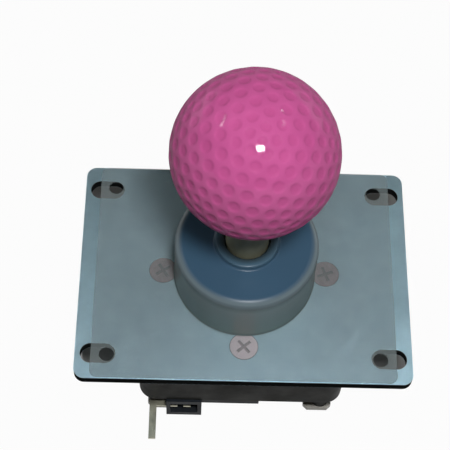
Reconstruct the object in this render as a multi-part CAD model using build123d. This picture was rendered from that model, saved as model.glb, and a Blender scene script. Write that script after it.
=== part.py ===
from build123d import *
import os
from math import acos, atan, cos, degrees, radians, sin, sqrt, tan

# Panel-mount arcade joystick lever, in millimetres. The origin is on the lever's axis at the
# top face of the mounting plate: +Z runs up the lever, +X is right and +Y is away from the player.

# Fits and room for motion
tilt = radians(9.0)             # lever travel each way about X and about Y
corner_tilt = acos(cos(tilt) ** 2)  # travel with both at once, into a corner of the gate
tilt_room = 0.3                 # gap left beside a fixed edge at full travel
running_gap = 0.05              # radial gap of a turning or sliding fit
face_gap = 0.05                 # gap between flat faces that turn on each other
screw_gap = 0.05                # radial gap round a screw in its own thread
hole_gap = 0.2                  # radial gap round a screw in a clearance hole
end_room = 1.0                  # left in a blind hole past the end of what is in it

# Mounting plate, laid out round the panel's four bolts
bolt_spacing_x = 77.0
bolt_spacing_y = 54.0
plate_margin_x = 9.0            # from a bolt to the plate's side
plate_margin_y = 7.1            # from a bolt to the plate's front or back
plate_thickness = 3.0
plate_corner = 3.0
slot_length = 10.0
slot_width = 6.0
slot_shift_x = 2.5              # outwards from the bolt
slot_shift_y = 0.5              # inwards from the bolt
plate_screw_from_boot = 3.3     # from the boot's wall to the screws that carry the housing
plate_screw_diameter = 4.0
plate_screw_head = 7.9
plate_screw_length = 13.0
plate_recess_reach = 2.4
plate_recess_width = 0.9
plate_recess_depth = 1.2

# Lever: shaft, spacer sleeve and golf ball knob
shaft_diameter = 8.0
shaft_below_gate = 3.7
thread_into_knob = 22.0
shaft_chamfer = 0.6
driver_slot_width = 1.4
driver_slot_depth = 1.6
sleeve_wall = 2.0
sleeve_into_knob = 1.2
sleeve_chamfer = 0.4
knob_diameter = 42.67
knob_height = 64.6              # knob centre above the plate
knob_turn = 24.0                # of the dimple pattern about X, in degrees
dimple_rows = 6                 # along each edge of the twenty triangles that the pattern fills
dimple_share = 0.41             # radius of a dimple, as a share of the way to the next one's centre
dimple_depth = 0.35             # below the lands, at a dimple's centre

# Pivot
pivot_drop = 6.0                # pivot centre below the plate's top face
pivot_diameter = 19.0
pivot_seat_gap = 0.15
pivot_top_flat = 7.2            # above the pivot centre
pivot_bottom_flat = 7.0         # below the pivot centre
plate_hole_gap = 1.0            # round the pivot ball

# Dust boot with its gasket flange
boot_diameter = 40.4
boot_height = 19.0
boot_wall = 1.2
boot_rim = 2.6
collar_wall = 2.75
collar_rise = 1.4
collar_rim = 0.6
collar_gap = 0.25
flange_inset_x = 4.5            # from the plate's sides
flange_inset_y = 0.3            # from the plate's front and back
flange_thickness = 0.6
flange_corner = 2.0
flange_hole_diameter = 4.3

# Housing
housing_height = 22.0
housing_wall = 2.2
housing_margin = 3.2            # beyond the switches
housing_corner = 5.0
deck_thickness = 3.0
hub_wall = 3.0
hub_below_ball = 1.0
rib_thickness = 2.0
boss_wall = 2.0
mechanism_room = 2.1            # kept clear round the mechanism, beyond the switches' faces

# Return spring and its washer
washer_thickness = 0.8
washer_inset = 2.5              # from the wall of the clear middle
spring_wire = 1.2
spring_turns = 4.5
spring_end_gap = 0.1

# Actuator and its retaining clip
actuator_drop = 1.5             # below the housing's lower edge
actuator_height = 6.5
actuator_wall = 2.3             # round the shaft at the top
actuator_chamfer = 0.5
clip_rim = 1.2                  # beyond the shaft
clip_thickness = 0.9
clip_mouth = 5.0
groove_depth = 1.0

# Microswitches: four alike, set round the actuator like a pinwheel
switch_length = 27.8
switch_height = 15.9            # from the plunger's face to the terminals' face
switch_thickness = 10.3
cover_thickness = 2.0
plunger_from_end = 5.9
plunger_diameter = 3.0
plunger_stroke = 0.9
plunger_proud = 1.1
plunger_inside = 3.0
plunger_tip_round = 0.5
plunger_room = 0.35             # between the tip and the actuator at full travel
peg_from_edge = 2.8             # from both edges at a corner of the case
peg_diameter = 3.0
peg_post_wall = 1.5
hood_length = 10.5
hood_depth = 4.0
hood_wall = 1.2
hood_roof = 2.0
terminal_width = 2.1
terminal_thickness = 0.6
terminal_reach = 13.7           # beyond the terminals' face
terminal_root = 1.8             # set into the case
terminal_set_off = 2.9          # from the case's end to a blade that is turned out
tag_reach = 3.4
tag_gap = 1.8

# Restrictor gate under the switches
gate_margin = 0.5               # beyond the posts' centres
gate_thickness = 2.0
gate_corner = 3.0
gate_hole_corner = 2.5
ear_wall = 0.8                  # beyond a post, at the gate's corners
ear_inward = 5.0                # from a post's centre towards the middle of a side
ear_reach = 2.9                 # from a post's centre out past the gate's edge
ear_slope = 1.2
gate_post_wall = 1.35
gate_post_gap = 0.2             # to the end of the switch beside it
gate_post_inset = 2.3           # from the switches' backs
gate_screw_diameter = 2.5
gate_screw_head = 4.6
gate_screw_head_height = 1.6
gate_screw_length = 10.0
gate_recess_reach = 1.4
gate_recess_width = 0.7
gate_recess_depth = 0.9

# Sizes and levels that follow from those
plate_width = bolt_spacing_x + 2 * plate_margin_x
plate_depth = bolt_spacing_y + 2 * plate_margin_y
slot_x = bolt_spacing_x / 2 + slot_shift_x
slot_y = bolt_spacing_y / 2 - slot_shift_y
flange_width = plate_width - 2 * flange_inset_x
flange_depth = plate_depth - 2 * flange_inset_y
shaft_radius = shaft_diameter / 2
sleeve_radius = shaft_radius + sleeve_wall
knob_radius = knob_diameter / 2
dimple_angle = acos(1 / sqrt(5)) / dimple_rows  # a share of the arc over an icosahedron's edge
land_dip = 2 * dimple_share * (1 - dimple_share) * (1 - cos(dimple_angle))
dimple_radius = knob_radius / sqrt(1 - land_dip)  # puts the lands between dimples at the knob's radius
boot_radius = boot_diameter / 2
collar_radius = sleeve_radius + collar_gap + collar_wall
plate_screw_circle = boot_radius + plate_screw_from_boot
plate_screw_radius = plate_screw_diameter / 2
sink_depth = (plate_screw_head - plate_screw_diameter) / 2
pivot_radius = pivot_diameter / 2
pivot_z = -pivot_drop
seat_radius = pivot_radius + pivot_seat_gap
shaft_lean = shaft_radius / cos(corner_tilt)   # half the leaning shaft, cut level
knob_underside = knob_height - sqrt(knob_radius**2 - sleeve_radius**2)
sleeve_bottom = pivot_z + pivot_top_flat + face_gap
sleeve_top = knob_underside + sleeve_into_knob
shaft_top = sleeve_top + thread_into_knob
housing_top = -plate_thickness
housing_bottom = housing_top - housing_height
deck_bottom = housing_top - deck_thickness
hub_radius = seat_radius + hub_wall
hub_bottom = pivot_z - pivot_bottom_flat - hub_below_ball
washer_bottom = hub_bottom - washer_thickness
throat_radius = shaft_lean + (pivot_z - washer_bottom) * tan(corner_tilt) + tilt_room
actuator_top = housing_bottom - actuator_drop
actuator_bottom = actuator_top - actuator_height
actuator_top_radius = shaft_radius + actuator_wall
actuator_bottom_radius = actuator_top_radius - actuator_height * tan(tilt)
groove_radius = shaft_radius - groove_depth
clip_top = actuator_bottom - face_gap
clip_bottom = clip_top - clip_thickness

# The actuator's flank stands upright at full travel, this far from the axis
flank_reach = actuator_top_radius * cos(tilt) + (pivot_z - actuator_top) * sin(tilt)
plunger_tip = flank_reach + plunger_room
switch_face = plunger_tip + plunger_proud
switch_back = switch_face + switch_height
switch_top = housing_bottom
switch_bottom = switch_top - switch_thickness
switch_middle = switch_top - switch_thickness / 2
switch_right = plunger_from_end
switch_left = switch_right - switch_length
peg_near = (switch_left + peg_from_edge, -switch_face - peg_from_edge)
peg_far = (switch_right - peg_from_edge, -switch_back + peg_from_edge)
mechanism_radius = switch_face + mechanism_room
washer_radius = mechanism_radius - washer_inset
spring_top_radius = (throat_radius + washer_radius) / 2
spring_bottom_radius = (shaft_radius + actuator_top_radius) / 2
housing_half = switch_back + housing_margin
gate_top = switch_bottom
gate_bottom = gate_top - gate_thickness
gate_half = shaft_lean + (pivot_z - gate_bottom) * tan(tilt) / cos(tilt) + tilt_room
gate_post_radius = gate_screw_diameter / 2 + gate_post_wall
gate_post_x = switch_back - gate_post_inset
gate_post_y = switch_left - gate_post_gap - gate_post_radius
gate_width = 2 * (gate_post_x + gate_margin)
shaft_bottom = gate_bottom - shaft_below_gate

BASE = (Align.CENTER, Align.CENTER, Align.MIN)
quarter_turns = [Rot(0, 0, 90 * turn) for turn in range(4)]


def rod(radius, low, high, x=0.0, y=0.0):
    """An upright cylinder between two levels."""
    return Pos(x, y, low) * Cylinder(radius, high - low, align=BASE)


def block(x_span, y_span, z_span):
    """A box between the two ends of each span."""
    spans = (x_span, y_span, z_span)
    sizes = [high - low for low, high in spans]
    middle = [(high + low) / 2 for low, high in spans]
    return Pos(*middle) * Box(*sizes)


def slab(outline, low, high):
    """A flat outline drawn on the XY plane, thickened between two levels."""
    return Pos(0, 0, low) * extrude(outline, amount=high - low)


def turned(points):
    """A solid of revolution about the lever's axis from (radius, level) points."""
    profile = make_face(Polyline([(radius, 0, level) for radius, level in points], close=True))
    return revolve(profile, axis=Axis.Z)


def around(shape):
    """Four copies, a quarter turn apart about the lever's axis."""
    copies = [turn * shape for turn in quarter_turns]
    return copies[0] + copies[1:]


def top_edge(shape):
    """The highest circular edge of a round solid."""
    return shape.edges().filter_by(GeomType.CIRCLE).sort_by(Axis.Z)[-1]


def make_mounting_plate():
    """Zinc-plated steel plate with mounting slots, the lever's hole and countersunk screw holes."""
    plate = slab(RectangleRounded(plate_width, plate_depth, plate_corner), housing_top, 0)
    slot = slab(SlotOverall(slot_length, slot_width), housing_top, 0)
    for x in (-slot_x, slot_x):
        for y in (-slot_y, slot_y):
            plate -= Pos(x, y, 0) * slot
    plate -= rod(seat_radius + plate_hole_gap, housing_top, 0)
    hole_radius = plate_screw_radius + hole_gap
    sink = Cone(hole_radius, hole_radius + sink_depth, sink_depth, align=BASE)
    hole = Pos(0, 0, -sink_depth) * sink + rod(hole_radius, housing_top, 0)
    plate -= around(Pos(plate_screw_circle, 0, 0) * hole)
    return plate


def cross_recess(reach, width, depth, level):
    """The cross for a screwdriver, reaching down from one level."""
    arm = block((-reach, reach), (-width / 2, width / 2), (level - depth, level))
    return arm + Rot(0, 0, 90) * arm


def make_plate_screws():
    """Four cross-recess countersunk screws, just under the plate's top face."""
    head_top = -face_gap
    head_bottom = head_top - sink_depth
    head = Cone(plate_screw_radius, plate_screw_radius + sink_depth, sink_depth, align=BASE)
    screw = Pos(0, 0, head_bottom) * head
    screw += rod(plate_screw_radius, head_top - plate_screw_length, head_bottom)
    screw -= cross_recess(plate_recess_reach, plate_recess_width, plate_recess_depth, head_top)
    return around(Pos(plate_screw_circle, 0, 0) * screw)


def icosahedron_faces():
    """The twenty faces of a unit icosahedron that stands on a corner, as corner triples."""
    top = Vector(0, 0, 1)
    bottom = Vector(0, 0, -1)
    upper = [Vector(2, 0, 1).normalized().rotate(Axis.Z, 72 * step) for step in range(6)]
    lower = [Vector(2, 0, -1).normalized().rotate(Axis.Z, 72 * step + 36) for step in range(6)]
    faces = []
    for step in range(5):
        faces.append((top, upper[step], upper[step + 1]))
        faces.append((upper[step], lower[step], upper[step + 1]))
        faces.append((lower[step], lower[step + 1], upper[step + 1]))
        faces.append((bottom, lower[step + 1], lower[step]))
    return faces


def dimple_triangles(first, second, third):
    """Triangles between the dimple centres that fill one face of the icosahedron, on a unit ball."""
    def centre(row, place):
        across = (second - first) * (row / dimple_rows) + (third - first) * (place / dimple_rows)
        return (first + across).normalized()

    triangles = []
    for row in range(dimple_rows):
        for place in range(dimple_rows - row):
            triangles.append((centre(row, place), centre(row + 1, place), centre(row, place + 1)))
            if row + place < dimple_rows - 1:
                beside = centre(row + 1, place + 1)
                triangles.append((centre(row + 1, place), beside, centre(row, place + 1)))
    return triangles


def dimpled_cover(triangle):
    """The cover over one triangle: a flat land in the middle and a slice of the pit at each corner."""
    centres = [centre * dimple_radius for centre in triangle]
    slices = []
    land = []
    for turn in range(3):
        centre = centres[turn]
        before = centre + (centres[turn - 1] - centre) * dimple_share
        after = centre + (centres[turn - 2] - centre) * dimple_share
        pit = centre.normalized() * (knob_radius - dimple_depth)
        slices.append(Face(Wire.make_polygon([pit, after, before])))
        land += [before, after]
    return slices + [Face(Wire.make_polygon(land))]


def make_golf_ball_knob():
    """Dimpled golf ball, bored for the shaft and counterbored for the sleeve's end."""
    cover = []
    for face in icosahedron_faces():
        for triangle in dimple_triangles(*face):
            cover += dimpled_cover(triangle)
    knob = Pos(0, 0, knob_height) * Rot(knob_turn, 0, 0) * Solid(Shell(cover))
    knob -= rod(sleeve_radius + running_gap, 0, sleeve_top)
    knob -= rod(shaft_radius + running_gap, sleeve_top, shaft_top + end_room)
    return knob


def make_shaft_sleeve():
    """Spacer tube between the pivot ball and the knob."""
    bore = shaft_radius + running_gap
    return turned([
        (bore, sleeve_bottom),
        (sleeve_radius - sleeve_chamfer, sleeve_bottom),
        (sleeve_radius, sleeve_bottom + sleeve_chamfer),
        (sleeve_radius, sleeve_top - sleeve_chamfer),
        (sleeve_radius - sleeve_chamfer, sleeve_top),
        (bore, sleeve_top),
    ])


def make_lever_shaft():
    """Steel shaft with a groove for the retaining clip and a screwdriver slot in its lower end."""
    shaft = turned([
        (0, shaft_bottom),
        (shaft_radius - shaft_chamfer, shaft_bottom),
        (shaft_radius, shaft_bottom + shaft_chamfer),
        (shaft_radius, clip_bottom),
        (groove_radius, clip_bottom),
        (groove_radius, clip_top),
        (shaft_radius, clip_top),
        (shaft_radius, shaft_top - shaft_chamfer),
        (shaft_radius - shaft_chamfer, shaft_top),
        (0, shaft_top),
    ])
    half_slot = driver_slot_width / 2
    slot = block((-shaft_radius, shaft_radius), (-half_slot, half_slot),
                 (shaft_bottom, shaft_bottom + driver_slot_depth))
    return shaft - slot


def make_pivot_ball():
    """Nylon ball with flat ends, bored for the shaft."""
    ball = Pos(0, 0, pivot_z) * Sphere(pivot_radius)
    ball &= rod(pivot_radius, pivot_z - pivot_bottom_flat, pivot_z + pivot_top_flat)
    ball -= rod(shaft_radius + running_gap, pivot_z - pivot_radius, pivot_z + pivot_radius)
    return ball


def make_dust_boot():
    """Soft boot moulded in one with its gasket flange, with a thick collar round the sleeve."""
    cap = rod(boot_radius, 0, boot_height)
    cap = fillet(top_edge(cap), boot_rim)
    hollow = rod(boot_radius - boot_wall, 0, boot_height - boot_wall)
    hollow = fillet(top_edge(hollow), boot_rim - boot_wall)
    collar_top = boot_height + collar_rise
    collar = rod(collar_radius, boot_height - boot_wall, collar_top)
    collar = fillet(top_edge(collar), collar_rim)
    flange = slab(RectangleRounded(flange_width, flange_depth, flange_corner), 0, flange_thickness)
    for x in (-bolt_spacing_x / 2, bolt_spacing_x / 2):
        for y in (-bolt_spacing_y / 2, bolt_spacing_y / 2):
            flange -= rod(flange_hole_diameter / 2, 0, flange_thickness, x, y)
    boot = cap + collar + flange - hollow
    return boot - rod(sleeve_radius + collar_gap, 0, collar_top)


def make_housing():
    """Black moulded housing: deck, skirt, pivot hub, ribs, screw bosses, switch pegs and gate posts."""
    outside = RectangleRounded(2 * housing_half, 2 * housing_half, housing_corner)
    inner_half = housing_half - housing_wall
    inside = RectangleRounded(2 * inner_half, 2 * inner_half, housing_corner - housing_wall)
    housing = slab(outside, housing_bottom, housing_top) - slab(inside, housing_bottom, deck_bottom)
    housing += rod(hub_radius, hub_bottom, housing_top)

    # Ribs run from the hub to the skirt, along the axes and to the corners
    half_rib = rib_thickness / 2
    side_rib = block((0, inner_half), (-half_rib, half_rib), (housing_bottom, deck_bottom))
    corner_reach = (inner_half - housing_corner / 2) * sqrt(2)
    corner_rib = block((0, corner_reach), (-half_rib, half_rib), (housing_bottom, deck_bottom))
    housing += around(side_rib) + around(Rot(0, 0, 45) * corner_rib)

    # Bosses take the plate's screws, pegs carry the switches and posts carry the gate
    hole_bottom = -plate_screw_length - end_room
    boss_radius = plate_screw_radius + boss_wall
    housing += around(rod(boss_radius, hole_bottom - boss_wall, deck_bottom, plate_screw_circle))
    peg_post_radius = peg_diameter / 2 + peg_post_wall
    for x, y in (peg_near, peg_far):
        housing += around(rod(peg_post_radius, housing_bottom, deck_bottom, x, y))
    housing += around(rod(gate_post_radius, gate_top, deck_bottom, gate_post_x, gate_post_y))

    # The middle is clear for the spring and the actuator, below the seat of the pivot ball
    housing -= rod(mechanism_radius, housing_bottom, hub_bottom)
    seat = Pos(0, 0, pivot_z) * Sphere(seat_radius)
    housing -= seat + rod(seat_radius, pivot_z, housing_top) + rod(throat_radius, hub_bottom, pivot_z)
    for x, y in (peg_near, peg_far):
        housing += around(rod(peg_diameter / 2, switch_bottom + face_gap, housing_bottom, x, y))
    screw_hole = rod(plate_screw_radius + screw_gap, hole_bottom, housing_top)
    housing -= around(Pos(plate_screw_circle, 0, 0) * screw_hole)
    gate_hole_top = gate_bottom + gate_screw_length + end_room
    gate_hole = rod(gate_screw_diameter / 2 + screw_gap, gate_top, gate_hole_top)
    housing -= around(Pos(gate_post_x, gate_post_y, 0) * gate_hole)
    return housing


def make_spring_washer():
    """Steel washer between the hub and the spring."""
    disc = rod(washer_radius, washer_bottom, hub_bottom)
    return disc - rod(throat_radius, washer_bottom, hub_bottom)


def make_return_spring():
    """Conical coil spring from the washer down to the actuator."""
    wire_radius = spring_wire / 2
    low = actuator_top + spring_end_gap + wire_radius
    high = washer_bottom - spring_end_gap - wire_radius
    rise = high - low
    flare = degrees(atan((spring_top_radius - spring_bottom_radius) / rise))
    coil = Helix(pitch=rise / spring_turns, height=rise, radius=spring_bottom_radius, cone_angle=flare)
    path = Pos(0, 0, low) * coil
    start = Plane(origin=path @ 0, z_dir=path % 0)
    return sweep(start * Circle(wire_radius), path=path, is_frenet=True)


def make_actuator():
    """Tapered collar on the shaft that presses the switches."""
    bore = shaft_radius + running_gap
    return turned([
        (bore, actuator_bottom),
        (actuator_bottom_radius, actuator_bottom),
        (actuator_top_radius - actuator_chamfer * tan(tilt), actuator_top - actuator_chamfer),
        (actuator_top_radius - actuator_chamfer, actuator_top),
        (bore, actuator_top),
    ])


def make_actuator_clip():
    """Open retaining clip in the shaft's groove."""
    clip_radius = shaft_radius + clip_rim
    clip = rod(clip_radius, clip_bottom, clip_top) - rod(groove_radius, clip_bottom, clip_top)
    half_mouth = clip_mouth / 2
    return clip - block((-half_mouth, half_mouth), (0, clip_radius), (clip_bottom, clip_top))


def make_gate_plate():
    """Restrictor plate with a square gate and an ear on each post."""
    gate = slab(RectangleRounded(gate_width, gate_width, gate_corner), gate_bottom, gate_top)
    ear_radius = gate_post_radius + ear_wall
    ear = block((gate_post_x - ear_inward, gate_post_x + ear_radius),
                (gate_post_y - ear_reach, gate_post_y + ear_radius), (gate_bottom, gate_top))
    outer_corners = ear.edges().filter_by(Axis.Z).sort_by(Axis.Y)[:2]
    gate += around(chamfer(outer_corners, ear_slope))
    gate -= slab(RectangleRounded(2 * gate_half, 2 * gate_half, gate_hole_corner), gate_bottom, gate_top)
    hole_radius = gate_screw_diameter / 2 + hole_gap
    return gate - around(rod(hole_radius, gate_bottom, gate_top, gate_post_x, gate_post_y))


def make_gate_screws():
    """Four small pan-head screws up through the gate plate into the posts."""
    head_bottom = gate_bottom - gate_screw_head_height
    head_radius = gate_screw_head / 2
    screw = rod(head_radius, head_bottom, gate_bottom)
    screw += rod(gate_screw_diameter / 2, gate_bottom, gate_bottom + gate_screw_length)
    recess_top = head_bottom + gate_recess_depth
    screw -= cross_recess(gate_recess_reach, gate_recess_width, gate_recess_depth, recess_top)
    return around(Pos(gate_post_x, gate_post_y, 0) * screw)


def make_switch_terminals(turned_out):
    """The front switch's terminals: a short tag and a long blade, straight or turned out sideways."""
    half = terminal_thickness / 2
    levels = (switch_middle - half, switch_middle + half)
    root_x = switch_left + hood_wall + terminal_width
    root_y = -switch_back + terminal_root
    tip_y = -switch_back - terminal_reach
    tag_x = root_x + tag_gap
    tag = block((tag_x, tag_x + terminal_width), (-switch_back - tag_reach, root_y), levels)
    if not turned_out:
        return tag + block((root_x - terminal_width, root_x), (tip_y, root_y), levels)
    run_y = -switch_back - hood_depth + terminal_thickness + terminal_width
    leg_x = switch_left - terminal_set_off - terminal_width
    blade = block((root_x - terminal_width, root_x), (run_y - terminal_width, root_y), levels)
    blade += block((leg_x, root_x), (run_y - terminal_width, run_y), levels)
    blade += block((leg_x, leg_x + terminal_width), (tip_y, run_y), levels)
    return tag + blade


def make_switch_body():
    """The front switch's whole body: a case with a hood over its terminals, bored for pegs and plunger."""
    body = block((switch_left, switch_right), (-switch_back, -switch_face), (switch_bottom, switch_top))
    hood_right = switch_left + hood_length
    hood_back = -switch_back - hood_depth
    body += block((switch_left, hood_right), (hood_back, -switch_back), (switch_bottom, switch_top))
    body -= block((switch_left + hood_wall, hood_right - hood_wall), (hood_back, -switch_back),
                  (switch_bottom + hood_roof, switch_top - hood_roof))
    bore_depth = plunger_inside + plunger_stroke + face_gap
    bore = Rot(90, 0, 0) * Cylinder(plunger_diameter / 2 + running_gap, bore_depth, align=BASE)
    body -= Pos(0, -switch_face, switch_middle) * bore
    for x, y in (peg_near, peg_far):
        body -= rod(peg_diameter / 2 + running_gap, switch_bottom, switch_top, x, y)
    return body - make_switch_terminals(turned_out=True)


def make_switch_plunger():
    """The front switch's plunger, which slides towards the terminals."""
    plunger = Cylinder(plunger_diameter / 2, plunger_inside + plunger_proud, align=BASE)
    plunger = fillet(plunger.edges().filter_by(GeomType.CIRCLE).sort_by(Axis.Z)[0], plunger_tip_round)
    return Pos(0, -plunger_tip, switch_middle) * (Rot(90, 0, 0) * plunger)


pieces = {
    "golf_ball_knob": make_golf_ball_knob(),
    "shaft_sleeve": make_shaft_sleeve(),
    "lever_shaft": make_lever_shaft(),
    "pivot_ball": make_pivot_ball(),
    "dust_boot": make_dust_boot(),
    "mounting_plate": make_mounting_plate(),
    "plate_screws": make_plate_screws(),
    "housing": make_housing(),
    "spring_washer": make_spring_washer(),
    "return_spring": make_return_spring(),
    "actuator": make_actuator(),
    "actuator_clip": make_actuator_clip(),
    "gate_plate": make_gate_plate(),
    "gate_screws": make_gate_screws(),
}

# The case and its riveted cover part at one level
split_level = switch_bottom + cover_thickness
switch_body = make_switch_body()
above_split = block((-plate_width, plate_width), (-plate_width, 0), (split_level, switch_top))
switch_pieces = {
    "case": switch_body & above_split,
    "cover": switch_body - above_split,
    "plunger": make_switch_plunger(),
}
for side, turn in zip(("front", "right", "back", "left"), quarter_turns):
    for piece, shape in switch_pieces.items():
        pieces[f"{side}_switch_{piece}"] = turn * shape
    terminals = make_switch_terminals(turned_out=side == "front")
    pieces[f"{side}_switch_terminals"] = turn * terminals

os.makedirs("parts", exist_ok=True)
for name, shape in pieces.items():
    export_step(shape, f"parts/{name}.step")
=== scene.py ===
import bmesh
import bpy
from math import cos, pi, radians, sin
from mathutils import Matrix, Vector


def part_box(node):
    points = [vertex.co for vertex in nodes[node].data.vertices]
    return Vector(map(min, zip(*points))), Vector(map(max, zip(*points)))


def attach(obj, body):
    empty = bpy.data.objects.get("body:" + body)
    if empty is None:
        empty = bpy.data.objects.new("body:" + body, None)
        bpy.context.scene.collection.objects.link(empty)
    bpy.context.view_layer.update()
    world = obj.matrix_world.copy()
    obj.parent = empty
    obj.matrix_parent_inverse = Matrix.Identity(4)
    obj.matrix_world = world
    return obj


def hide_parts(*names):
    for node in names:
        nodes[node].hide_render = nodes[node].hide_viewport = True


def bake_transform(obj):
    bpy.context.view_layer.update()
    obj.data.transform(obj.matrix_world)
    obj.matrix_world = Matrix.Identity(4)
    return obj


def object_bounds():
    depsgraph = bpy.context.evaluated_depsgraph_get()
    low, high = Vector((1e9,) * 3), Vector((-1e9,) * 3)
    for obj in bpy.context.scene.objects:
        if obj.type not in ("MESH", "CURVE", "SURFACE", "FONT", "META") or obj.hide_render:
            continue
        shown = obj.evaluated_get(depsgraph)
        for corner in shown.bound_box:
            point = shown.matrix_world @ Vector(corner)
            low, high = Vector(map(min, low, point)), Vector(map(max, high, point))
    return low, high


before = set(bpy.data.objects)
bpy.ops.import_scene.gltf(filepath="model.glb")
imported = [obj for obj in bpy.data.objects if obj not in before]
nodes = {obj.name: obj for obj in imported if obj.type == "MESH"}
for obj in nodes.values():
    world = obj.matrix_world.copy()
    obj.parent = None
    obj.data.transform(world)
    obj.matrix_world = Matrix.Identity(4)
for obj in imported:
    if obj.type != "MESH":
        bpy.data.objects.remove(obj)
cad_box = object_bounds()

# Mounting plate
# Zinc-plated steel sheet, stamped with four slots and sunk for the housing's four screws.
# The plating is a cool grey with a faint rolled grain and cloudy, slightly rubbed patches,
# and painted shade makes the sheared edges near black and takes the metal's shine off them.

mm = 0.001


def node_group(name, inputs, outputs):
    """An empty shader group with named sockets, and its input and output nodes."""
    group = bpy.data.node_groups.new(name, "ShaderNodeTree")
    for label, kind, value in inputs:
        socket = group.interface.new_socket(name=label, in_out="INPUT", socket_type=kind)
        socket.default_value = value
    for label, kind in outputs:
        group.interface.new_socket(name=label, in_out="OUTPUT", socket_type=kind)
    return group, group.nodes.new("NodeGroupInput"), group.nodes.new("NodeGroupOutput")


def span_between(tree, start, end):
    """A node whose value runs from 0 to 1 between two measures."""
    span = tree.nodes.new("ShaderNodeMapRange")
    span.inputs["From Min"].default_value = start
    span.inputs["From Max"].default_value = end
    return span


def mix_colours(tree, **tones):
    """A node that mixes two colours, A and B, with its fixed tones set."""
    mix = tree.nodes.new("ShaderNodeMix")
    mix.data_type = "RGBA"
    for label, tone in tones.items():
        mix.inputs[label].default_value = tone
    return mix


def add_math(tree, operation, second=None):
    """A node with one sum, its second term fixed where it is given."""
    node = tree.nodes.new("ShaderNodeMath")
    node.operation = operation
    if second is not None:
        node.inputs[1].default_value = second
    return node


def build_clouded_tone():
    """Colour that drifts between two tones in soft clouds, with the cloud itself as a value."""
    group, inlet, outlet = node_group(
        "clouded_tone",
        [("Scale", "NodeSocketFloat", 120.0), ("Dark", "NodeSocketColor", (0.2, 0.2, 0.2, 1)),
         ("Light", "NodeSocketColor", (0.5, 0.5, 0.5, 1))],
        [("Color", "NodeSocketColor"), ("Cloud", "NodeSocketFloat")])
    place = group.nodes.new("ShaderNodeTexCoord")
    cloud = group.nodes.new("ShaderNodeTexNoise")
    cloud.inputs["Detail"].default_value = 6.0
    cloud.inputs["Roughness"].default_value = 0.6
    spread = span_between(group, 0.3, 0.7)
    tone = mix_colours(group)
    link = group.links.new
    link(place.outputs["Object"], cloud.inputs["Vector"])
    link(inlet.outputs["Scale"], cloud.inputs["Scale"])
    link(cloud.outputs["Fac"], spread.inputs["Value"])
    link(spread.outputs["Result"], tone.inputs["Factor"])
    link(inlet.outputs["Dark"], tone.inputs["A"])
    link(inlet.outputs["Light"], tone.inputs["B"])
    link(tone.outputs["Result"], outlet.inputs["Color"])
    link(spread.outputs["Result"], outlet.inputs["Cloud"])
    return group


def build_drawn_lines():
    """Fine lines along one direction: a height where the noise is squeezed, and a roughness."""
    group, inlet, outlet = node_group(
        "drawn_lines",
        [("Squeeze", "NodeSocketVector", (40.0, 900.0, 900.0)), ("Low", "NodeSocketFloat", 0.3),
         ("High", "NodeSocketFloat", 0.5)],
        [("Height", "NodeSocketFloat"), ("Roughness", "NodeSocketFloat")])
    place = group.nodes.new("ShaderNodeTexCoord")
    squeeze = group.nodes.new("ShaderNodeVectorMath")
    squeeze.operation = "MULTIPLY"
    lines = group.nodes.new("ShaderNodeTexNoise")
    lines.inputs["Scale"].default_value = 1.0
    lines.inputs["Detail"].default_value = 3.0
    span = span_between(group, 0.3, 0.7)
    link = group.links.new
    link(place.outputs["Object"], squeeze.inputs[0])
    link(inlet.outputs["Squeeze"], squeeze.inputs[1])
    link(squeeze.outputs["Vector"], lines.inputs["Vector"])
    link(lines.outputs["Fac"], span.inputs["Value"])
    link(inlet.outputs["Low"], span.inputs["To Min"])
    link(inlet.outputs["High"], span.inputs["To Max"])
    link(lines.outputs["Fac"], outlet.inputs["Height"])
    link(span.outputs["Result"], outlet.inputs["Roughness"])
    return group


clouded_tone = build_clouded_tone()
drawn_lines = build_drawn_lines()


def new_material(name, metallic=0.0):
    """A material with one Principled shader, its node tree and that shader."""
    material = bpy.data.materials.new(name)
    material.use_nodes = True
    shader = material.node_tree.nodes["Principled BSDF"]
    shader.inputs["Metallic"].default_value = metallic
    return material, material.node_tree, shader


def place_group(tree, group, **values):
    """The group as a node in a material, with its inputs set."""
    node = tree.nodes.new("ShaderNodeGroup")
    node.node_tree = group
    for label, value in values.items():
        node.inputs[label].default_value = value
    return node


def add_bump(tree, shader, height, strength, distance):
    """A bump from one height output into the shader's normal."""
    bump = tree.nodes.new("ShaderNodeBump")
    bump.inputs["Strength"].default_value = strength
    bump.inputs["Distance"].default_value = distance
    tree.links.new(height, bump.inputs["Height"])
    tree.links.new(bump.outputs["Normal"], shader.inputs["Normal"])


def dress(material, *names):
    """Gives CAD nodes their material."""
    for name in names:
        nodes[name].data.materials.clear()
        nodes[name].data.materials.append(material)


zinc, zinc_tree, zinc_shader = new_material("zinc_plating")
plate_low, plate_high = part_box("mounting_plate")
plate_middle = (plate_low.z + plate_high.z) / 2
plate_half = (plate_high.z - plate_low.z) / 2
top_fade_start = 0.15 * mm  # depths from a face, between which the dark edge fades
top_fade_end = 0.03 * mm
under_fade_start = 0.02 * mm
under_fade_end = 0.004 * mm
zinc_dark = (0.47, 0.71, 0.84, 1)
zinc_light = (0.55, 0.81, 0.94, 1)
# painted shade: the plate's sheared edges are near black
edge_painted_shade = (0.01, 0.011, 0.011, 1)
zinc_tone = place_group(zinc_tree, clouded_tone, Scale=160.0, Dark=zinc_dark, Light=zinc_light)
zinc_grain = place_group(zinc_tree, drawn_lines, Squeeze=(700.0, 20000.0, 20000.0), Low=0.28, High=0.36)
zinc_place = zinc_tree.nodes.new("ShaderNodeTexCoord")
zinc_split = zinc_tree.nodes.new("ShaderNodeSeparateXYZ")
zinc_rise = add_math(zinc_tree, "SUBTRACT", plate_middle)
zinc_top = span_between(zinc_tree, plate_half - top_fade_start, plate_half - top_fade_end)
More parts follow.
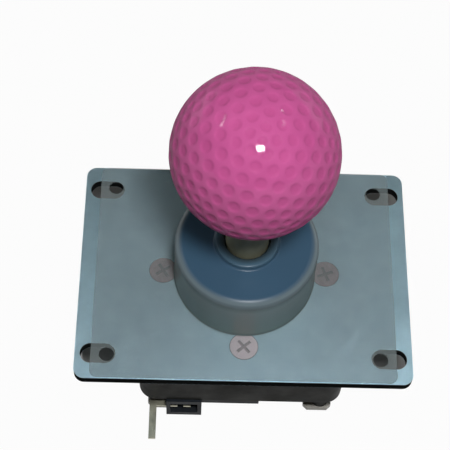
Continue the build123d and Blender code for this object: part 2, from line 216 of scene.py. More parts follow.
zinc_under = span_between(zinc_tree, under_fade_start - plate_half, under_fade_end - plate_half)
# This mask blends painted shade into the edges and takes the metal's shine off them.
zinc_face = add_math(zinc_tree, "MAXIMUM")
zinc_edge_shade = mix_colours(zinc_tree, A=edge_painted_shade)
link_zinc = zinc_tree.links.new
link_zinc(zinc_place.outputs["Object"], zinc_split.inputs["Vector"])
link_zinc(zinc_split.outputs["Z"], zinc_rise.inputs[0])
link_zinc(zinc_rise.outputs["Value"], zinc_top.inputs["Value"])
link_zinc(zinc_rise.outputs["Value"], zinc_under.inputs["Value"])
link_zinc(zinc_top.outputs["Result"], zinc_face.inputs[0])
link_zinc(zinc_under.outputs["Result"], zinc_face.inputs[1])
link_zinc(zinc_face.outputs["Value"], zinc_edge_shade.inputs["Factor"])
link_zinc(zinc_face.outputs["Value"], zinc_shader.inputs["Metallic"])
link_zinc(zinc_tone.outputs["Color"], zinc_edge_shade.inputs["B"])
link_zinc(zinc_edge_shade.outputs["Result"], zinc_shader.inputs["Base Color"])
link_zinc(zinc_grain.outputs["Roughness"], zinc_shader.inputs["Roughness"])
zinc_shader.inputs["Specular IOR Level"].default_value = 0.0
add_bump(zinc_tree, zinc_shader, zinc_grain.outputs["Height"], strength=1.0, distance=0.05 * mm)
dress(zinc, "mounting_plate")

# Plate screws
# Four countersunk steel machine screws with cross recesses, in a dark reddish finish that is
# brighter on the front one, with painted shade in the recesses. They clamp the housing to the plate, each
# stopped at its own angle.

warm_screw, screw_tree, screw_shader = new_material("warm_dark_screw", metallic=0.3)
screw_dark = (0.18, 0.1, 0.11, 1)
screw_light = (0.28, 0.18, 0.19, 1)
# a lighter tone that fades in towards the front, on the front screw
screw_front_tone = (0.74, 0.6, 0.64, 1)
# painted shade in the cross recesses, lighter on the front screw
recess_painted_shade = (0.1, 0.05, 0.053, 1)
recess_front_shade = (0.36, 0.27, 0.29, 1)
screw_circle = 23.5 * mm
recess_depth = 0.5 * mm
face_depth = 0.1 * mm
front_tone_start = -0.5 * screw_circle
front_tone_end = -0.7 * screw_circle
screw_tone = place_group(screw_tree, clouded_tone, Scale=420.0, Dark=screw_dark, Light=screw_light)
screw_lines = place_group(screw_tree, drawn_lines, Squeeze=(1500.0, 1500.0, 200.0), Low=0.28, High=0.42)
screw_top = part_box("plate_screws")[1].z
screw_place = screw_tree.nodes.new("ShaderNodeTexCoord")
screw_split = screw_tree.nodes.new("ShaderNodeSeparateXYZ")
screw_face = span_between(screw_tree, screw_top - recess_depth, screw_top - face_depth)
screw_front = span_between(screw_tree, front_tone_start, front_tone_end)
screw_front_mix = mix_colours(screw_tree, B=screw_front_tone)
screw_recess_shade = mix_colours(screw_tree, A=recess_painted_shade, B=recess_front_shade)
# mixes the painted recess shade in below the screw's top face
screw_shade_by_depth = mix_colours(screw_tree)
link_screw = screw_tree.links.new
link_screw(screw_place.outputs["Object"], screw_split.inputs["Vector"])
link_screw(screw_split.outputs["Z"], screw_face.inputs["Value"])
link_screw(screw_face.outputs["Result"], screw_shade_by_depth.inputs["Factor"])
link_screw(screw_split.outputs["Y"], screw_front.inputs["Value"])
link_screw(screw_front.outputs["Result"], screw_front_mix.inputs["Factor"])
link_screw(screw_front.outputs["Result"], screw_recess_shade.inputs["Factor"])
link_screw(screw_tone.outputs["Color"], screw_front_mix.inputs["A"])
link_screw(screw_recess_shade.outputs["Result"], screw_shade_by_depth.inputs["A"])
link_screw(screw_front_mix.outputs["Result"], screw_shade_by_depth.inputs["B"])
link_screw(screw_shade_by_depth.outputs["Result"], screw_shader.inputs["Base Color"])
link_screw(screw_lines.outputs["Roughness"], screw_shader.inputs["Roughness"])


def add_piece(name, mesh, smooth=True):
    """A mesh as an object at the origin, shaded smooth or flat."""
    piece = bpy.data.objects.new(name, mesh)
    bpy.context.scene.collection.objects.link(piece)
    for face in mesh.polygons:
        face.use_smooth = smooth
    return piece


merge_distance = 0.001 * mm
screw_turns = ((0, -1, 41), (1, 0, 20), (0, 1, 68), (-1, 0, 33))  # x and y side, and angle in degrees
screw_shape = bmesh.new()
screw_shape.from_mesh(nodes["plate_screws"].data)
bmesh.ops.remove_doubles(screw_shape, verts=screw_shape.verts[:], dist=merge_distance)
for x, y, turn in screw_turns:
    middle = Vector((x, y, 0)) * screw_circle
    points = [point for point in screw_shape.verts if (point.co.xy - middle.xy).length < screw_circle / 2]
    angle = Matrix.Rotation(radians(turn), 3, "Z")
    bmesh.ops.rotate(screw_shape, verts=points, cent=middle, matrix=angle)
screw_mesh = bpy.data.meshes.new("turned_plate_screws")
screw_shape.to_mesh(screw_mesh)
screw_shape.free()
turned_screws = add_piece("turned_plate_screws", screw_mesh, smooth=False)
screw_mesh.materials.append(warm_screw)
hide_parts("plate_screws")
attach(turned_screws, "base")

# Housing
# Black glass-filled nylon, moulded in one with the pivot's seat, ribs, bosses and pegs.
# Its skin has a fine spark texture, duller in patches.


def build_mould_skin():
    """The fine pitted skin of a moulding: a height for bump and a value for roughness."""
    group, inlet, outlet = node_group(
        "mould_skin",
        [("Scale", "NodeSocketFloat", 1800.0), ("Low", "NodeSocketFloat", 0.4),
         ("High", "NodeSocketFloat", 0.6)],
        [("Height", "NodeSocketFloat"), ("Roughness", "NodeSocketFloat")])
    place = group.nodes.new("ShaderNodeTexCoord")
    pits = group.nodes.new("ShaderNodeTexNoise")
    pits.inputs["Detail"].default_value = 2.0
    haze = group.nodes.new("ShaderNodeTexNoise")
    haze.inputs["Scale"].default_value = 90.0
    haze.inputs["Detail"].default_value = 4.0
    span = span_between(group, 0.35, 0.65)
    link = group.links.new
    link(place.outputs["Object"], pits.inputs["Vector"])
    link(place.outputs["Object"], haze.inputs["Vector"])
    link(inlet.outputs["Scale"], pits.inputs["Scale"])
    link(haze.outputs["Fac"], span.inputs["Value"])
    link(inlet.outputs["Low"], span.inputs["To Min"])
    link(inlet.outputs["High"], span.inputs["To Max"])
    link(pits.outputs["Fac"], outlet.inputs["Height"])
    link(span.outputs["Result"], outlet.inputs["Roughness"])
    return group


mould_skin = build_mould_skin()


def moulded_plastic(name, dark, light, low, high, scale=1800.0, bump=0.2, gloss=0.5):
    """A moulded plastic: two close tones, a fine skin and a roughness that drifts."""
    material, tree, shader = new_material(name)
    shader.inputs["Specular IOR Level"].default_value = gloss
    tone = place_group(tree, clouded_tone, Scale=140.0, Dark=(*dark, 1), Light=(*light, 1))
    skin = place_group(tree, mould_skin, Scale=scale, Low=low, High=high)
    tree.links.new(tone.outputs["Color"], shader.inputs["Base Color"])
    tree.links.new(skin.outputs["Roughness"], shader.inputs["Roughness"])
    add_bump(tree, shader, skin.outputs["Height"], strength=bump, distance=0.05 * mm)
    return material


black_nylon = moulded_plastic(
    "black_nylon", dark=(0.01, 0.0105, 0.0095), light=(0.024, 0.0245, 0.022),
    low=0.5, high=0.7, gloss=0.08)
dress(black_nylon, "housing")

# Pivot ball and actuator
# Both turned from natural white nylon. The ball rocks in the housing's seat, and the
# tapered actuator below it presses the switches.

white_nylon = moulded_plastic(
    "white_nylon", dark=(0.66, 0.64, 0.57), light=(0.76, 0.74, 0.68),
    low=0.36, high=0.5, scale=1200.0, bump=0.1)
dress(white_nylon, "pivot_ball", "actuator")

# Lever shaft, washer and clip
# The shaft is bright drawn steel bar, turned at its ends, and the stamped washer is bright too.
# The open retaining clip is spring steel, darker from hardening.


def turned_metal(name, dark, light, squeeze, low, high):
    """A bare metal with two close tones and fine tool lines."""
    material, tree, shader = new_material(name, metallic=1.0)
    tone = place_group(tree, clouded_tone, Scale=260.0, Dark=(*dark, 1), Light=(*light, 1))
    lines = place_group(tree, drawn_lines, Squeeze=squeeze, Low=low, High=high)
    tree.links.new(tone.outputs["Color"], shader.inputs["Base Color"])
    tree.links.new(lines.outputs["Roughness"], shader.inputs["Roughness"])
    add_bump(tree, shader, lines.outputs["Height"], strength=0.12, distance=0.02 * mm)
    return material


bright_steel = turned_metal(
    "bright_steel", dark=(0.46, 0.47, 0.48), light=(0.6, 0.61, 0.62),
    squeeze=(120.0, 120.0, 2200.0), low=0.18, high=0.27)
spring_steel = turned_metal(
    "spring_steel", dark=(0.16, 0.155, 0.15), light=(0.28, 0.27, 0.26),
    squeeze=(500.0, 500.0, 500.0), low=0.28, high=0.42)
dress(bright_steel, "lever_shaft", "spring_washer")
dress(spring_steel, "actuator_clip")

# Shaft sleeve
# A plain spacer tube in warm grey plastic, clamped between the knob and the pivot ball.
# It passes through the boot's collar.

sleeve_plastic = moulded_plastic(
    "grey_sleeve", dark=(0.23, 0.23, 0.16), light=(0.3, 0.3, 0.21),
    low=0.34, high=0.48, scale=900.0, bump=0.1, gloss=0.25)
dress(sleeve_plastic, "shaft_sleeve")

# Return spring
# Conical coil of round spring wire between the washer and the actuator. It is made in two
# lengths that meet in its top turn.

spring_low, spring_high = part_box("return_spring")
wire_radius = 0.6 * mm
coil_turns = 4.5
steps_per_turn = 24
coil_bottom = spring_low.z + wire_radius
coil_top = spring_high.z - wire_radius
coil_narrow = 5.15 * mm
coil_wide = 8.42 * mm
coil_split = 0.8


def coil_length(name, start, end):
    """A stretch of the spring's wire between two shares of its height, as a mesh."""
    curve = bpy.data.curves.new(name, "CURVE")
    curve.dimensions = "3D"
    curve.bevel_depth = wire_radius
    curve.bevel_resolution = 3
    curve.use_fill_caps = True
    steps = round((end - start) * coil_turns * steps_per_turn)
    line = curve.splines.new("POLY")
    line.points.add(steps)
    for step, point in enumerate(line.points):
        share = start + (end - start) * step / steps
        reach = coil_narrow + (coil_wide - coil_narrow) * share
        turn = 2 * pi * coil_turns * share
        level = coil_bottom + (coil_top - coil_bottom) * share
        point.co = (reach * cos(turn), reach * sin(turn), level, 1)
    holder = bpy.data.objects.new(name + "_line", curve)
    bpy.context.scene.collection.objects.link(holder)
    bpy.context.view_layer.update()
    mesh = bpy.data.meshes.new_from_object(holder.evaluated_get(bpy.context.evaluated_depsgraph_get()))
    bpy.data.objects.remove(holder)
    return add_piece(name, mesh)


lower_coil = coil_length("return_spring_lower", 0.0, coil_split)
upper_coil = coil_length("return_spring_upper", coil_split, 1.0)
for coil in (lower_coil, upper_coil):
    coil.data.materials.append(spring_steel)
    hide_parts("return_spring")
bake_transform(upper_coil)
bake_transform(lower_coil)

# Golf ball knob
# A real golf ball, drilled from below for the shaft. Its pink cover is moulded with round dimples
# in twenty triangles, and painted shade darkens the hollows a little. A clear lacquer levels the dimples
# out, so that glints stay whole, and is polished on the lands between them.

ball_low, ball_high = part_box("golf_ball_knob")
ball_radius = (ball_high.y - ball_low.y) / 2
ball_centre = Vector((0, 0, ball_high.z - ball_radius))
rounding_loss = 1.0115  # rounding draws the mesh in by this much
mesh_radius = ball_radius * rounding_loss
triangle_cuts = 5
dimple_percent = 46.0
dimple_steps = ((0.45, 0.13, 0.7), (0.55, 0.11, 1.0))  # width and drop in mm, and the hollow's mark
dimple_turn = radians(24)
knob_spin = radians(5)

ball_shape = bmesh.new()
bmesh.ops.create_icosphere(ball_shape, subdivisions=1, radius=mesh_radius)
bmesh.ops.subdivide_edges(ball_shape, edges=ball_shape.edges[:], cuts=triangle_cuts, use_grid_fill=True)
for corner in ball_shape.verts:
    corner.co = corner.co.normalized() * mesh_radius
truncated = bmesh.ops.bevel(
    ball_shape, geom=ball_shape.verts[:], affect="VERTICES", offset=dimple_percent,
    offset_type="PERCENT", segments=1, profile=0.5, material=-1)
for corner in ball_shape.verts:
    corner.co = corner.co.normalized() * mesh_radius
hollows = truncated["faces"]
hollow_mark = ball_shape.verts.layers.float.new("hollow")
for step, drop, mark in dimple_steps:
    bmesh.ops.inset_individual(ball_shape, faces=hollows, thickness=step * mm, depth=-drop * mm)
    for hollow in hollows:
        for corner in hollow.verts:
            corner[hollow_mark] = mark
turn_dimples = Matrix.Rotation(knob_spin, 3, "Z") @ Matrix.Rotation(dimple_turn, 3, "X")
bmesh.ops.rotate(ball_shape, verts=ball_shape.verts[:], cent=(0, 0, 0), matrix=turn_dimples)
bmesh.ops.translate(ball_shape, verts=ball_shape.verts[:], vec=ball_centre)
ball_mesh = bpy.data.meshes.new("golf_ball")
ball_shape.to_mesh(ball_mesh)
ball_shape.free()
golf_ball = add_piece("golf_ball", ball_mesh)
rounding = golf_ball.modifiers.new("round_dimples", "SUBSURF")
rounding.levels = 2
rounding.render_levels = 2

pink_cover, pink_tree, pink_shader = new_material("pink_ball_cover")
pink_dark = (0.44, 0.076, 0.235, 1)
pink_light = (0.5, 0.092, 0.27, 1)
# painted shade that darkens the dimple hollows
hollow_painted_shade = (0.95, 0.91, 0.93, 1)
land_lacquer = 0.036
hollow_lacquer = 0.014
pink_tone = place_group(pink_tree, clouded_tone, Scale=90.0, Dark=pink_dark, Light=pink_light)
pink_skin = place_group(pink_tree, mould_skin, Scale=700.0, Low=0.42, High=0.52)
pink_hollow = pink_tree.nodes.new("ShaderNodeAttribute")
pink_hollow.attribute_name = "hollow"
pink_hollow_shade = mix_colours(pink_tree, B=hollow_painted_shade)
pink_hollow_shade.blend_type = "MULTIPLY"
pink_polish = span_between(pink_tree, 0.0, 1.0)
pink_polish.inputs["To Min"].default_value = land_lacquer
pink_polish.inputs["To Max"].default_value = hollow_lacquer
pink_place = pink_tree.nodes.new("ShaderNodeTexCoord")
pink_out = pink_tree.nodes.new("ShaderNodeVectorMath")
pink_out.operation = "SUBTRACT"
pink_out.inputs[1].default_value = ball_centre
pink_round = pink_tree.nodes.new("ShaderNodeVectorTransform")
pink_round.vector_type = "NORMAL"
pink_round.convert_from = "OBJECT"
pink_round.convert_to = "WORLD"
link_pink = pink_tree.links.new
link_pink(pink_hollow.outputs["Fac"], pink_hollow_shade.inputs["Factor"])
link_pink(pink_tone.outputs["Color"], pink_hollow_shade.inputs["A"])
link_pink(pink_hollow_shade.outputs["Result"], pink_shader.inputs["Base Color"])
link_pink(pink_skin.outputs["Roughness"], pink_shader.inputs["Roughness"])
link_pink(pink_place.outputs["Object"], pink_out.inputs[0])
link_pink(pink_out.outputs["Vector"], pink_round.inputs["Vector"])
link_pink(pink_round.outputs["Vector"], pink_shader.inputs["Coat Normal"])
link_pink(pink_hollow.outputs["Fac"], pink_polish.inputs["Value"])
link_pink(pink_polish.outputs["Result"], pink_shader.inputs["Coat Weight"])
pink_shader.inputs["Specular IOR Level"].default_value = 0.03
pink_shader.inputs["Coat Roughness"].default_value = 0.06
pink_shader.inputs["Coat IOR"].default_value = 4.0
add_bump(pink_tree, pink_shader, pink_skin.outputs["Height"], strength=0.03, distance=0.05 * mm)
ball_mesh.materials.append(pink_cover)
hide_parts("golf_ball_knob")
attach(golf_ball, "lever")

# Dust boot
# Soft milky plastic, moulded in one: a thin flange, an upright wall and a top with a thick collar.
# Painted shade darkens the top and the collar around the sleeve, and a painted highlight runs along
# the rounded rim. The wall is split at mid height into a lower and an upper piece.

boot_radius = 20.2 * mm
boot_wall = 1.2 * mm
boot_height = 19.0 * mm
boot_split = 10.0 * mm
boot_rim = 2.6 * mm
boot_foot = 0.3 * mm
collar_radius = 9.0 * mm
collar_top = 20.4 * mm
collar_bore = 6.25 * mm
flange_thickness = 0.6 * mm
flange_gap = 0.03 * mm
flange_half_x = 43.0 * mm
flange_half_y = 33.8 * mm
flange_corner = 2.0 * mm
bolt_x = 38.5 * mm
bolt_y = 27.0 * mm
bolt_hole = 2.15 * mm
round_steps = 96
hole_steps = 32
corner_reach = 0.01 * mm
foot_fillet = 0.25 * mm
collar_foot = 0.7 * mm
collar_edge = 0.6 * mm
collar_inner_edge = 0.4 * mm
lower_rows = range(2, 10)  # levels in mm where the wall can bend
upper_rows = range(11, 17)


def spun_shell(name, outline, rounded, rows):
    """A ring of revolution from (radius, level) points, with rounded corners and rows to bend at.

    Its points keep their level and their reach from the axis, for the material to follow."""
    shape = bmesh.new()
    points = [shape.verts.new((radius, 0, level)) for radius, level in outline]
    edges = [shape.edges.new(pair) for pair in zip(points, points[1:])]
    bmesh.ops.spin(
        shape, geom=points + edges, cent=(0, 0, 0), axis=(0, 0, 1), angle=2 * pi, steps=round_steps,
        use_merge=True)
    bmesh.ops.remove_doubles(shape, verts=shape.verts[:], dist=merge_distance)
    bmesh.ops.recalc_face_normals(shape, faces=shape.faces[:])
    for radius, level, size, segments in rounded:
        corner = Vector((radius, level))
        near = [
            point for point in shape.verts
            if (Vector((point.co.xy.length, point.co.z)) - corner).length < corner_reach
        ]
        ring = [edge for edge in shape.edges if all(end in near for end in edge.verts)]
        bmesh.ops.bevel(
            shape, geom=ring, affect="EDGES", offset=size, segments=segments, profile=0.5, material=-1)
    for row in rows:
        whole = shape.verts[:] + shape.edges[:] + shape.faces[:]
        bmesh.ops.bisect_plane(shape, geom=whole, plane_co=(0, 0, row * mm), plane_no=(0, 0, 1))
    level_mark = shape.verts.layers.float.new("level")
    reach_mark = shape.verts.layers.float.new("reach")
    for point in shape.verts:
        point[level_mark] = point.co.z
        point[reach_mark] = point.co.xy.length
    mesh = bpy.data.meshes.new(name)
    shape.to_mesh(mesh)
    shape.free()
    return add_piece(name, mesh)


boot_bore = boot_radius - boot_wall
inner_top = boot_height - boot_wall
foot_bottom = flange_thickness * 0.9  # sunk into the flange
lower_boot = spun_shell("dust_boot_wall", [
    (boot_bore, boot_split),
    (boot_bore, foot_bottom),
    (boot_radius + boot_foot, foot_bottom),
    (boot_radius, flange_thickness + boot_foot),
    (boot_radius, boot_split),
], [(boot_radius, flange_thickness + boot_foot, foot_fillet, 4)], lower_rows)
upper_boot = spun_shell("dust_boot_top", [
    (boot_radius, boot_split),
    (boot_radius, boot_height),
    (collar_radius, boot_height),
    (collar_radius, collar_top),
    (collar_bore, collar_top),
    (collar_bore, inner_top),
    (boot_bore, inner_top),
    (boot_bore, boot_split),
], [
    (boot_radius, boot_height, boot_rim, 8),
    (collar_radius, boot_height, collar_foot, 4),
    (collar_radius, collar_top, collar_edge, 4),
    (collar_bore, collar_top, collar_inner_edge, 3),
    (boot_bore, inner_top, boot_rim - boot_wall, 6),
], upper_rows)

flange_shape = bmesh.new()
flange_size = Matrix.Diagonal((flange_half_x, flange_half_y, 1, 1))
bmesh.ops.create_grid(flange_shape, x_segments=1, y_segments=1, size=1.0, matrix=flange_size)
bmesh.ops.bevel(
    flange_shape, geom=flange_shape.verts[:], affect="VERTICES", offset=flange_corner, segments=4,
    profile=0.5, material=-1)
bmesh.ops.delete(flange_shape, geom=flange_shape.faces[:], context="FACES_ONLY")
bmesh.ops.create_circle(flange_shape, segments=round_steps, radius=boot_bore)
for x in (-bolt_x, bolt_x):
    for y in (-bolt_y, bolt_y):
        hole_place = Matrix.Translation((x, y, 0))
        bmesh.ops.create_circle(flange_shape, segments=hole_steps, radius=bolt_hole, matrix=hole_place)
bmesh.ops.triangle_fill(flange_shape, use_beauty=True, edges=flange_shape.edges[:])
bmesh.ops.recalc_face_normals(flange_shape, faces=flange_shape.faces[:])
bmesh.ops.translate(flange_shape, verts=flange_shape.verts[:], vec=(0, 0, flange_gap))
sheet_faces = flange_shape.faces[:]
risen = bmesh.ops.extrude_face_region(flange_shape, geom=sheet_faces, use_keep_orig=True)
risen_points = [item for item in risen["geom"] if isinstance(item, bmesh.types.BMVert)]
bmesh.ops.translate(flange_shape, verts=risen_points, vec=(0, 0, flange_thickness - flange_gap))
bmesh.ops.recalc_face_normals(flange_shape, faces=flange_shape.faces[:])
flange_mesh = bpy.data.meshes.new("dust_boot_flange")
flange_shape.to_mesh(flange_mesh)
flange_shape.free()
boot_flange = add_piece("dust_boot_flange", flange_mesh, smooth=False)

sheet_plastic, sheet_tree, sheet_shader = new_material("milky_flange_plastic")
sheet_dark = (0.27, 0.33, 0.34, 1)
sheet_light = (0.32, 0.38, 0.39, 1)
sheet_tone = place_group(sheet_tree, clouded_tone, Scale=45.0, Dark=sheet_dark, Light=sheet_light)
sheet_skin = place_group(sheet_tree, mould_skin, Scale=60.0, Low=0.28, High=0.36)
link_sheet = sheet_tree.links.new
link_sheet(sheet_tone.outputs["Color"], sheet_shader.inputs["Base Color"])
link_sheet(sheet_skin.outputs["Roughness"], sheet_shader.inputs["Roughness"])
sheet_shader.inputs["Alpha"].default_value = 0.24
add_bump(sheet_tree, sheet_shader, sheet_skin.outputs["Height"], strength=0.03, distance=0.4 * mm)

milky, milky_tree, milky_shader = new_material("milky_boot_plastic")
milky_level = milky_tree.nodes.new("ShaderNodeAttribute")
milky_level.attribute_name = "level"
milky_height = span_between(milky_tree, 0.0, collar_top)
milky_height_tone = milky_tree.nodes.new("ShaderNodeValToRGB")
# Tones by height: darker at the foot and just under the rim, lighter at mid height. The pale band on the
# rounded rim is a painted highlight, and the dark blue of the top and collar is painted shade with a
# painted bluish reflection.
height_tones_with_painted_light = [
    (0.0, (0.13, 0.17, 0.17, 1)),
    (0.1, (0.125, 0.175, 0.17, 1)),
    (0.7, (0.185, 0.235, 0.235, 1)),
    (0.82, (0.115, 0.155, 0.17, 1)),
    (0.87, (0.12, 0.165, 0.19, 1)),
    (0.89, (0.165, 0.22, 0.245, 1)),
    (0.91, (0.135, 0.185, 0.215, 1)),
    (0.93, (0.04, 0.093, 0.155, 1)),
    (1.0, (0.06, 0.12, 0.175, 1)),
]
ramp = milky_height_tone.color_ramp.elements
while len(ramp) < len(height_tones_with_painted_light):
    ramp.new(0.5)
for stop, (share, tone) in zip(ramp, height_tones_with_painted_light):
    stop.position = share
    stop.color = tone
# painted shade on the collar's top around the sleeve
collar_painted_shade = (0.03, 0.043, 0.045, 1)
collar_shade_inside = 2.7 * mm
collar_shade_outside = 0.8 * mm
milky_skin = place_group(milky_tree, mould_skin, Scale=120.0, Low=0.28, High=0.36)
milky_reach = milky_tree.nodes.new("ShaderNodeAttribute")
milky_reach.attribute_name = "reach"
milky_unshaded = span_between(milky_tree, collar_radius - collar_shade_inside, collar_radius - collar_shade_outside)
milky_collar_shade = mix_colours(milky_tree, A=collar_painted_shade)
link_milky = milky_tree.links.new
link_milky(milky_level.outputs["Fac"], milky_height.inputs["Value"])
link_milky(milky_height.outputs["Result"], milky_height_tone.inputs["Fac"])
link_milky(milky_reach.outputs["Fac"], milky_unshaded.inputs["Value"])
link_milky(milky_unshaded.outputs["Result"], milky_collar_shade.inputs["Factor"])
link_milky(milky_height_tone.outputs["Color"], milky_collar_shade.inputs["B"])
link_milky(milky_collar_shade.outputs["Result"], milky_shader.inputs["Base Color"])
link_milky(milky_skin.outputs["Roughness"], milky_shader.inputs["Roughness"])
milky_shader.inputs["Alpha"].default_value = 0.88
milky_shader.inputs["Specular IOR Level"].default_value = 0.25
add_bump(milky_tree, milky_shader, milky_skin.outputs["Height"], strength=0.06, distance=0.3 * mm)

for piece, plastic in ((boot_flange, sheet_plastic), (lower_boot, milky), (upper_boot, milky)):
    piece.data.materials.append(plastic)
    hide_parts("dust_boot")
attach(boot_flange, "base")
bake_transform(lower_boot)
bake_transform(upper_boot)

# Microswitches
# Four snap switches in black phenolic, each a case with a riveted cover. Their tinned brass
# terminals stick out past the housing, darkened with painted shade near their case, and a red plunger
# faces the actuator.

phenolic = moulded_plastic(
    "switch_phenolic", dark=(0.007, 0.009, 0.012), light=(0.012, 0.015, 0.02),
    low=0.45, high=0.6, scale=1500.0, bump=0.12, gloss=0.1)
cover_phenolic = moulded_plastic(
    "switch_cover", dark=(0.009, 0.011, 0.014), light=(0.014, 0.017, 0.022),
    low=0.45, high=0.62, scale=1500.0, bump=0.12, gloss=0.1)
plunger_red = moulded_plastic(
    "plunger_red", dark=(0.4, 0.02, 0.015), light=(0.5, 0.03, 0.02),
    low=0.28, high=0.36, scale=900.0, bump=0.05)
tinned_brass = turned_metal(
    "tinned_brass", dark=(0.4, 0.39, 0.3), light=(0.52, 0.5, 0.4),
    squeeze=(300.0, 300.0, 900.0), low=0.3, high=0.46)
case_reach = -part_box("front_switch_case")[0].y
case_shade_start = 1.0 * mm
case_shade_end = 2.0 * mm
# painted shade on the terminals near their case
case_painted_shade = (0.06, 0.055, 0.045, 1)
brass_tree = tinned_brass.node_tree
brass_shader = brass_tree.nodes["Principled BSDF"]
brass_tone = brass_shader.inputs["Base Color"].links[0].from_socket
brass_place = brass_tree.nodes.new("ShaderNodeTexCoord")
brass_flat = brass_tree.nodes.new("ShaderNodeVectorMath")
brass_flat.operation = "MULTIPLY"
brass_flat.inputs[1].default_value = (1, 1, 0)
brass_reach = brass_tree.nodes.new("ShaderNodeVectorMath")
brass_reach.operation = "LENGTH"
brass_unshaded = span_between(brass_tree, case_reach - case_shade_start, case_reach + case_shade_end)
brass_case_shade = mix_colours(brass_tree, A=case_painted_shade)
link_brass = brass_tree.links.new
link_brass(brass_place.outputs["Object"], brass_flat.inputs[0])
link_brass(brass_flat.outputs["Vector"], brass_reach.inputs[0])
link_brass(brass_reach.outputs["Value"], brass_unshaded.inputs["Value"])
link_brass(brass_unshaded.outputs["Result"], brass_case_shade.inputs["Factor"])
link_brass(brass_tone, brass_case_shade.inputs["B"])
link_brass(brass_case_shade.outputs["Result"], brass_shader.inputs["Base Color"])
for side in ("front", "right", "back", "left"):
    dress(phenolic, f"{side}_switch_case")
    dress(cover_phenolic, f"{side}_switch_cover")
    dress(plunger_red, f"{side}_switch_plunger")
    dress(tinned_brass, f"{side}_switch_terminals")

# Restrictor gate
# Ivory nylon plate with a square hole that stops the lever, held under the switches by
# four small pan-head screws.

ivory_nylon = moulded_plastic(
    "ivory_nylon", dark=(0.36, 0.345, 0.31), light=(0.44, 0.42, 0.38),
    low=0.38, high=0.54, scale=1400.0, bump=0.15)
gate_screw_steel = turned_metal(
    "gate_screw_steel", dark=(0.5, 0.5, 0.5), light=(0.66, 0.66, 0.65),
    squeeze=(1500.0, 1500.0, 200.0), low=0.28, high=0.38)
dress(ivory_nylon, "gate_plate")
dress(gate_screw_steel, "gate_screws")

# Floor
# A plain pale floor under the lowest point of the part, turned up far off as a backdrop. For views
# and reflections it is lifted most of the way to white, except in a patch under and behind the
# plate that keeps its shadow.

floor_level = cad_box[0][2]
floor_half = 20.0
backdrop_height = 4.0
floor_grey = (0.18, 0.18, 0.175, 1)
shade_centre = (1.8 * mm, 22.6 * mm, floor_level)
shade_half = (52.6 * mm, 37.0 * mm, 1.0)
shade_squareness = 20.0
shade_full = 0.5
shade_gone = 0.95
floor_lifted = 0.97
floor_shape = bmesh.new()
floor_place = Matrix.Translation((0, 0, floor_level))
bmesh.ops.create_grid(floor_shape, x_segments=1, y_segments=1, size=floor_half, matrix=floor_place)
turned_up = bmesh.ops.extrude_edge_only(floor_shape, edges=floor_shape.edges[:])
backdrop_top = [item for item in turned_up["geom"] if isinstance(item, bmesh.types.BMVert)]
bmesh.ops.translate(floor_shape, verts=backdrop_top, vec=(0, 0, backdrop_height))
floor_mesh = bpy.data.meshes.new("floor")
floor_shape.to_mesh(floor_mesh)
floor_shape.free()
floor = add_piece("floor", floor_mesh, smooth=False)
floor_material = bpy.data.materials.new("pale_floor")
floor_material.use_nodes = True
floor_tree = floor_material.node_tree
floor_tree.nodes.clear()
floor_out = floor_tree.nodes.new("ShaderNodeOutputMaterial")
floor_matte = floor_tree.nodes.new("ShaderNodeBsdfDiffuse")
floor_matte.inputs["Color"].default_value = floor_grey
floor_white = floor_tree.nodes.new("ShaderNodeEmission")
floor_white.inputs["Color"].default_value = (1, 1, 1, 1)
floor_path = floor_tree.nodes.new("ShaderNodeLightPath")
floor_seen = add_math(floor_tree, "MAXIMUM")
floor_through = add_math(floor_tree, "MAXIMUM")
floor_point = floor_tree.nodes.new("ShaderNodeTexCoord")
floor_fit = floor_tree.nodes.new("ShaderNodeMapping")
floor_fit.vector_type = "TEXTURE"
floor_fit.inputs["Location"].default_value = shade_centre
floor_fit.inputs["Scale"].default_value = shade_half
floor_split = floor_tree.nodes.new("ShaderNodeSeparateXYZ")
floor_wide = add_math(floor_tree, "POWER", shade_squareness)
floor_deep = add_math(floor_tree, "POWER", shade_squareness)
floor_away = add_math(floor_tree, "ADD")
floor_open = span_between(floor_tree, shade_full, shade_gone)
floor_open.interpolation_type = "SMOOTHSTEP"
floor_open.inputs["To Max"].default_value = floor_lifted
floor_lift = add_math(floor_tree, "MULTIPLY")
floor_mix = floor_tree.nodes.new("ShaderNodeMixShader")
link_floor = floor_tree.links.new
link_floor(floor_path.outputs["Is Camera Ray"], floor_seen.inputs[0])
link_floor(floor_path.outputs["Is Glossy Ray"], floor_seen.inputs[1])
link_floor(floor_seen.outputs["Value"], floor_through.inputs[0])
link_floor(floor_path.outputs["Is Transmission Ray"], floor_through.inputs[1])
link_floor(floor_point.outputs["Object"], floor_fit.inputs["Vector"])
link_floor(floor_fit.outputs["Vector"], floor_split.inputs["Vector"])
link_floor(floor_split.outputs["X"], floor_wide.inputs[0])
link_floor(floor_split.outputs["Y"], floor_deep.inputs[0])
link_floor(floor_wide.outputs["Value"], floor_away.inputs[0])
link_floor(floor_deep.outputs["Value"], floor_away.inputs[1])
link_floor(floor_away.outputs["Value"], floor_open.inputs["Value"])
link_floor(floor_through.outputs["Value"], floor_lift.inputs[0])
link_floor(floor_open.outputs["Result"], floor_lift.inputs[1])
link_floor(floor_lift.outputs["Value"], floor_mix.inputs["Fac"])
link_floor(floor_matte.outputs["BSDF"], floor_mix.inputs[1])
link_floor(floor_white.outputs["Emission"], floor_mix.inputs[2])
link_floor(floor_mix.outputs["Shader"], floor_out.inputs["Surface"])
floor_mesh.materials.append(floor_material)

# Camera
# Looks down on the part from in front at about 61 degrees, turned and rolled slightly, from
# about 0.4 m away with a long lens.

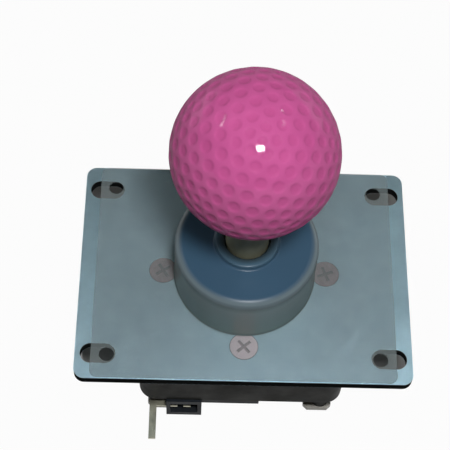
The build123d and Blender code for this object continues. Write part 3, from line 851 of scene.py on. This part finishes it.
view_rise = radians(60.96)
view_turn = radians(-2.287)
view_roll = radians(3.434)
view_target = Vector((-5.8 * mm, 15.46 * mm, 0))
view_distance = 393.8 * mm
sensor_width = 36.0
focal_share = 1330.5 / 450  # focal length in picture widths
toward_viewer = Vector((sin(view_turn) * cos(view_rise), -cos(view_turn) * cos(view_rise), sin(view_rise)))
level_right = Vector((cos(view_turn), sin(view_turn), 0))
level_up = toward_viewer.cross(level_right)
picture_right = level_right * cos(view_roll) + level_up * sin(view_roll)
picture_up = level_up * cos(view_roll) - level_right * sin(view_roll)
camera_place = view_target + toward_viewer * view_distance


def facing(right, up, back, place):
    """The matrix of an object that looks along the reverse of back from a place."""
    turn = Matrix((right, up, back)).transposed().to_4x4()
    return Matrix.Translation(place) @ turn


camera_data = bpy.data.cameras.new("camera")
camera_data.sensor_width = sensor_width
camera_data.lens = sensor_width * focal_share
camera_data.clip_start = 0.01
camera = bpy.data.objects.new("camera", camera_data)
camera.matrix_world = facing(picture_right, picture_up, toward_viewer, camera_place)
bpy.context.scene.collection.objects.link(camera)
bpy.context.scene.camera = camera

# Lamps and surrounding light
# A small lamp just beside the camera, two small lamps and a narrow strip above for glints on
# the ball, two broad weak lamps low behind, and a faint, slightly warm surround.


def add_lamp(name, place, aim, wide, high, power):
    """A rectangular lamp at a place, turned towards an aim."""
    data = bpy.data.lights.new(name, "AREA")
    data.shape = "RECTANGLE"
    data.size = wide
    data.size_y = high
    data.energy = power
    lamp = bpy.data.objects.new(name, data)
    back = (place - aim).normalized()
    right = Vector((0, 0, 1)).cross(back).normalized()
    lamp.matrix_world = facing(right, back.cross(right), back, place)
    bpy.context.scene.collection.objects.link(lamp)


glint_distance = 0.6


def glint_place(right_share, up_share):
    """Where a lamp stands so that the ball mirrors it at this share of its radius in the picture."""
    out = (camera_place - ball_centre).normalized()
    depth = (1 - right_share**2 - up_share**2) ** 0.5
    normal = picture_right * right_share + picture_up * up_share + out * depth
    return ball_centre + (normal * (2 * normal.dot(out)) - out) * glint_distance


lamp_right = 0.038
lamp_up = 0.039
fill_side = 0.6
fill_behind = 0.55
fill_level = 0.12
lamp_aim = Vector((0, 0, 20.0 * mm))
beside_camera = camera_place + picture_right * lamp_right + picture_up * lamp_up
add_lamp("lamp_by_camera", beside_camera, lamp_aim, wide=0.055, high=0.044, power=1.18)
left_glint = glint_place(right_share=-0.345, up_share=0.36)
high_glint = glint_place(right_share=0.278, up_share=0.448)
low_glint = glint_place(right_share=0.302, up_share=0.32)
add_lamp("strip_left", left_glint, ball_centre, wide=0.16, high=0.03, power=0.25)
add_lamp("small_right_high", high_glint, ball_centre, wide=0.045, high=0.03, power=0.1)
add_lamp("small_right_low", low_glint, ball_centre, wide=0.07, high=0.035, power=0.14)
for side, x in (("left", -fill_side), ("right", fill_side)):
    low_behind = Vector((x, fill_behind, fill_level))
    add_lamp("fill_back_" + side, low_behind, lamp_aim, wide=0.5, high=0.3, power=0.6)

surround = bpy.data.worlds.new("pale_surround")
surround.use_nodes = True
surround_light = surround.node_tree.nodes["Background"]
surround_light.inputs["Color"].default_value = (1.0, 0.92, 0.74, 1)
surround_light.inputs["Strength"].default_value = 0.045
bpy.context.scene.world = surround
bpy.context.scene.view_settings.view_transform = "Standard"
